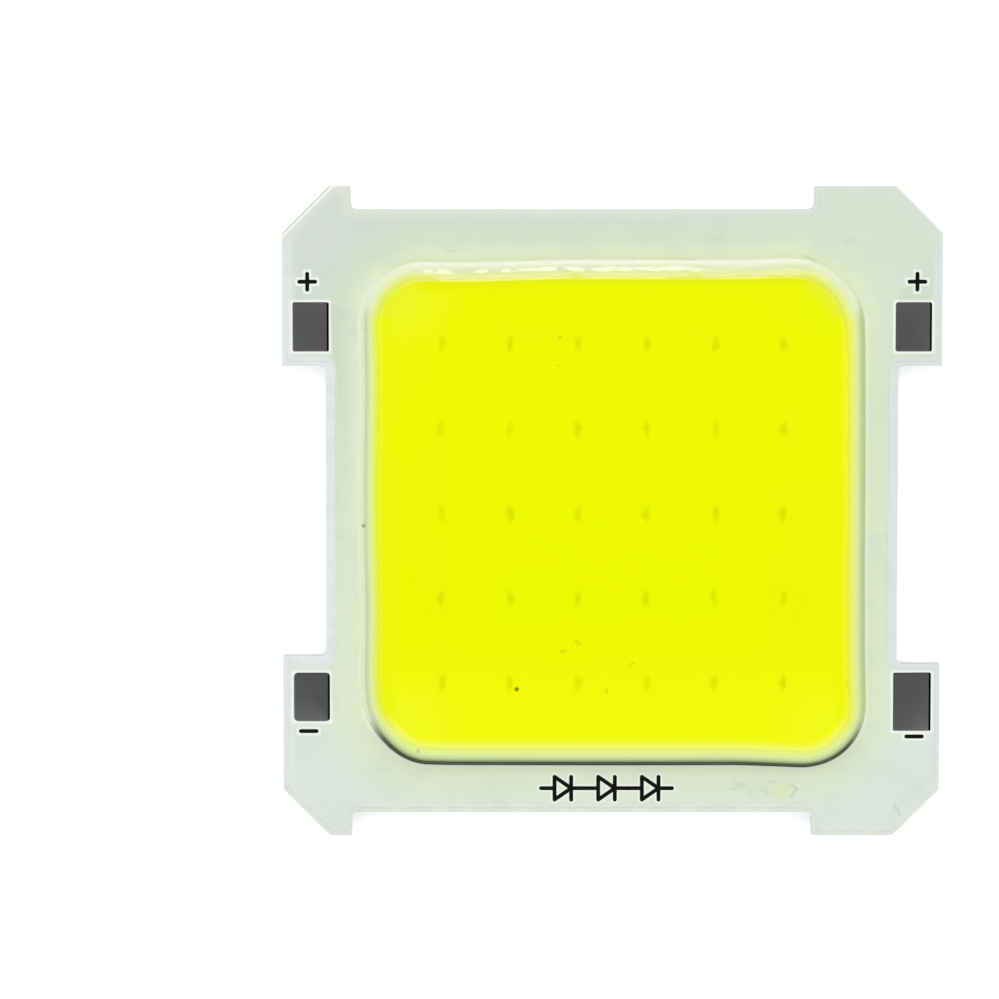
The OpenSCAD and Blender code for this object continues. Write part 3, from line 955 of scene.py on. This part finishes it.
def dam_bead():
    """The silicone bead, laid once round the light field and a little uneven."""
    put_down()
    bpy.ops.mesh.primitive_circle_add(
        vertices=BEAD_SIDES,
        radius=BEAD_RADIUS,
        location=(BEAD_HALF_X, 0, BEAD_HEART),
        rotation=(math.pi / 2, 0, 0),
    )
    piece = start("dam_bead")
    bpy.ops.mesh.select_all(action="SELECT")
    straight_x = BEAD_HALF_X - BEAD_CORNER
    straight_y = BEAD_HALF_Y - BEAD_CORNER
    corner_steps = round(BEAD_CORNER * math.pi / 2 / BEAD_STEP)
    runs = [
        (Vector((0, 1, 0)), straight_y, (1, 1)),
        (Vector((-1, 0, 0)), 2 * straight_x, (-1, 1)),
        (Vector((0, -1, 0)), 2 * straight_y, (-1, -1)),
        (Vector((1, 0, 0)), 2 * straight_x, (1, -1)),
        (Vector((0, 1, 0)), straight_y, None),
    ]
    for way, length, corner in runs:
        steps = round(length / BEAD_STEP)
        for _ in range(steps):
            bpy.ops.mesh.extrude_region_move(
                TRANSFORM_OT_translate={"value": way * (length / steps)}
            )
        if corner:
            bpy.ops.mesh.spin(
                steps=corner_steps,
                angle=-math.pi / 2,
                center=(corner[0] * straight_x, corner[1] * straight_y, BEAD_HEART),
                axis=(0, 0, 1),
            )
    bpy.ops.mesh.select_all(action="SELECT")
    bpy.ops.mesh.remove_doubles(threshold=BEAD_SEAM)
    bpy.ops.mesh.select_all(action="SELECT")
    bpy.ops.mesh.normals_make_consistent(inside=False)
    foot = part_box("insulating_layer")[1].z
    bpy.ops.mesh.bisect(plane_co=(0, 0, foot), plane_no=(0, 0, 1), clear_inner=True)
    bpy.ops.mesh.select_all(action="DESELECT")
    bpy.ops.mesh.select_mode(type="VERT")
    bpy.ops.mesh.select_non_manifold()
    bpy.ops.mesh.bridge_edge_loops()
    bpy.ops.mesh.select_all(action="SELECT")
    bpy.ops.mesh.normals_make_consistent(inside=False)
    stray()
    put_down()
    bpy.context.view_layer.objects.active = piece
    held = MASK_BOX[1].z + BEAD_HELD
    free = piece.vertex_groups.new(name="free")
    free.add([v.index for v in piece.data.vertices if v.co.z > held], 1.0, "REPLACE")
    lumps = bpy.data.textures.new("bead_lumps", "CLOUDS")
    lumps.noise_scale = BEAD_LUMP
    lumps.noise_depth = 1
    uneven = piece.modifiers.new("uneven", "DISPLACE")
    uneven.texture = lumps
    uneven.texture_coords = "LOCAL"
    uneven.strength = BEAD_UNEVEN
    uneven.mid_level = 0.5
    uneven.vertex_group = "free"
    bpy.ops.object.modifier_apply(modifier="uneven")
    return hand_over(piece, "root", "white_silicone", "silicone_dam", smooth=60)


def gel_fill():
    """The phosphor gel: level in the middle, and climbing a little where it wets the bead."""
    put_down()
    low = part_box("phosphor_gel")[0].z
    edge = BEAD_TOP - GEL_TOP_GAP + GEL_RISE
    bpy.ops.mesh.primitive_cube_add(
        size=1,
        location=(0, 0, (low + edge) / 2),
        scale=(2 * (BEAD_HALF_X - GEL_MEETS_BEAD), 2 * (BEAD_HALF_Y - GEL_MEETS_BEAD), edge - low),
    )
    piece = start("gel_fill")
    pick("EDGE", upright)
    bpy.ops.mesh.bevel(offset=BEAD_CORNER - GEL_MEETS_BEAD, segments=GEL_CORNER_STEPS)
    pick("EDGE", lambda edge: (ends(edge)[0] - ends(edge)[1]).length > BEAD_HALF_X)
    bpy.ops.mesh.subdivide(number_cuts=GEL_SIDE_CUTS)
    pick("FACE", lambda face: face.normal.z > 0.9)
    for step in range(GEL_ROUND_STEPS):
        before = step / GEL_ROUND_STEPS
        after = (step + 1) / GEL_ROUND_STEPS
        fall = GEL_RISE * ((1 - before) ** 2 - (1 - after) ** 2)
        bpy.ops.mesh.inset(thickness=GEL_ROUND / GEL_ROUND_STEPS, depth=0)
        bpy.ops.transform.translate(value=(0, 0, -fall))
    stray()
    return hand_over(piece, "root", "phosphor_silicone", "phosphor_gel", smooth=60)


def tin_pad(node):
    """A tinned pad, its solder drawn into a low cushion."""
    put_down()
    low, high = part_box(node)
    bpy.ops.mesh.primitive_cube_add(size=1, location=(low + high) / 2, scale=high - low)
    piece = start(node.replace("pad", "tin_pad"))
    pick("EDGE", upright)
    bpy.ops.mesh.bevel(offset=PAD_CORNERS[node], segments=PAD_CORNER_STEPS)
    pick("FACE", lambda face: face.normal.z > 0.9)
    thick = high.z - low.z
    bpy.ops.transform.translate(value=(0, 0, -PAD_RIM_DROP * thick))
    for width, rise in PAD_CUSHION:
        bpy.ops.mesh.inset(thickness=width, depth=0)
        bpy.ops.transform.translate(value=(0, 0, rise * thick))
    return hand_over(piece, "root", "tinned_pad", node, smooth=60)


# ---- The room: floor, light and camera ----
def light_path_share(tree, strength):
    """A glow that only the camera, mirrors and glass see."""
    path = tree.nodes.new("ShaderNodeLightPath")
    seen = path.outputs["Is Camera Ray"]
    for ray in ("Is Glossy Ray", "Is Transmission Ray"):
        either = tree.nodes.new("ShaderNodeMath")
        either.operation = "MAXIMUM"
        tree.links.new(seen, either.inputs[0])
        tree.links.new(path.outputs[ray], either.inputs[1])
        seen = either.outputs[0]
    level = tree.nodes.new("ShaderNodeMath")
    level.operation = "MULTIPLY"
    tree.links.new(seen, level.inputs[0])
    level.inputs[1].default_value = strength
    return level.outputs[0]


def pale_floor():
    put_down()
    bpy.ops.mesh.primitive_plane_add(size=FLOOR_SIZE, location=(0, 0, CAD_BOX[0].z - FLOOR_GAP))
    floor = bpy.context.object
    floor.name = "floor"
    material = bpy.data.materials.new("pale_floor")
    material.use_nodes = True
    tree = material.node_tree
    shader = tree.nodes["Principled BSDF"]
    shader.inputs["Base Color"].default_value = FLOOR_GREY
    shader.inputs["Roughness"].default_value = 1.0
    shader.inputs["Specular IOR Level"].default_value = 0.0
    shader.inputs["Emission Color"].default_value = (1, 1, 1, 1)
    tree.links.new(light_path_share(tree, FLOOR_GLOW), shader.inputs["Emission Strength"])
    dress(material, floor)
    put_down()


def soft_room():
    """Even light from all round, weaker straight overhead, where the lens stands."""
    world = bpy.data.worlds.new("soft_room")
    bpy.context.scene.world = world
    world.use_nodes = True
    tree = world.node_tree
    glow = tree.nodes["Background"]
    way = tree.nodes.new("ShaderNodeTexCoord")
    split = tree.nodes.new("ShaderNodeSeparateXYZ")
    tree.links.new(way.outputs["Generated"], split.inputs[0])
    level = tree.nodes.new("ShaderNodeValToRGB")
    steps = level.color_ramp.elements
    steps.new(0.5)
    steps.new(0.5)
    for step, (height, strength) in zip(steps, SKY_LEVELS):
        step.position = height
        step.color = (strength / SKY_PEAK,) * 3 + (1,)
    tree.links.new(split.outputs[2], level.inputs[0])
    tree.links.new(level.outputs[0], glow.inputs["Color"])
    glow.inputs["Strength"].default_value = SKY_PEAK


def area_light(name, place, size, power, aim):
    """A rectangular soft light turned to face the board."""
    data = bpy.data.lights.new(name, "AREA")
    data.shape = "RECTANGLE"
    data.size, data.size_y = size
    data.energy = power
    lamp = bpy.data.objects.new(name, data)
    bpy.context.scene.collection.objects.link(lamp)
    lamp.location = place
    lamp.rotation_euler = (Vector(aim) - Vector(place)).to_track_quat("-Z", "Y").to_euler()


def camera():
    data = bpy.data.cameras.new("camera")
    data.sensor_width = CAMERA_SENSOR
    data.lens = CAMERA_LENS
    data.clip_start = CAMERA_NEAR
    data.clip_end = CAMERA_FAR
    lens = bpy.data.objects.new("camera", data)
    bpy.context.scene.collection.objects.link(lens)
    turn = Matrix.Rotation(-CAMERA_TILT, 4, "X")
    across, up, back = (turn.to_3x3().col[i] for i in range(3))
    target = Vector((0, 0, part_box("insulating_layer")[1].z))
    place = target + back * CAMERA_DISTANCE - across * CAMERA_LEFT + up * CAMERA_UP
    lens.matrix_world = Matrix.Translation(place) @ turn
    bpy.context.scene.camera = lens


# ---- Making it all ----
camera()
pale_floor()
soft_room()
area_light("north_softbox", SOFTBOX_PLACE, SOFTBOX_SIZE, SOFTBOX_POWER, SOFTBOX_AIM)

dress(aluminium_finish(), punched_plate())
dress(resin_finish(), resin_layer())
dress(mask_finish(), mask_coat())
dress(silicone_finish(), dam_bead())
dress(gel_finish(), gel_fill())
dress(tin_finish(), *[tin_pad(node) for node in PADS])
dress(ink_finish(), *[NODES[node] for node in INK])

copper = grained_finish("copper", (198, 120, 84), (176, 98, 66), 0.3 * MM, 0.35, metal=1.0)
dress(copper, NODES["copper_positive"], NODES["copper_negative"])
glue = grained_finish("die_glue", (226, 226, 220), (205, 206, 198), 0.2 * MM, 0.5)
dress(glue, NODES["die_glue"])
chip = grained_finish("led_die", (120, 132, 150), (88, 98, 118), 0.15 * MM, 0.2)
wire = grained_finish("gold_wire", (240, 198, 96), (214, 168, 66), 0.05 * MM, 0.25, metal=1.0)
for name, node in NODES.items():
    if name.startswith("led_die"):
        dress(chip, node)
    if name.startswith("bond_wires"):
        dress(wire, node)

bpy.context.scene.view_settings.view_transform = "Standard"
put_down()
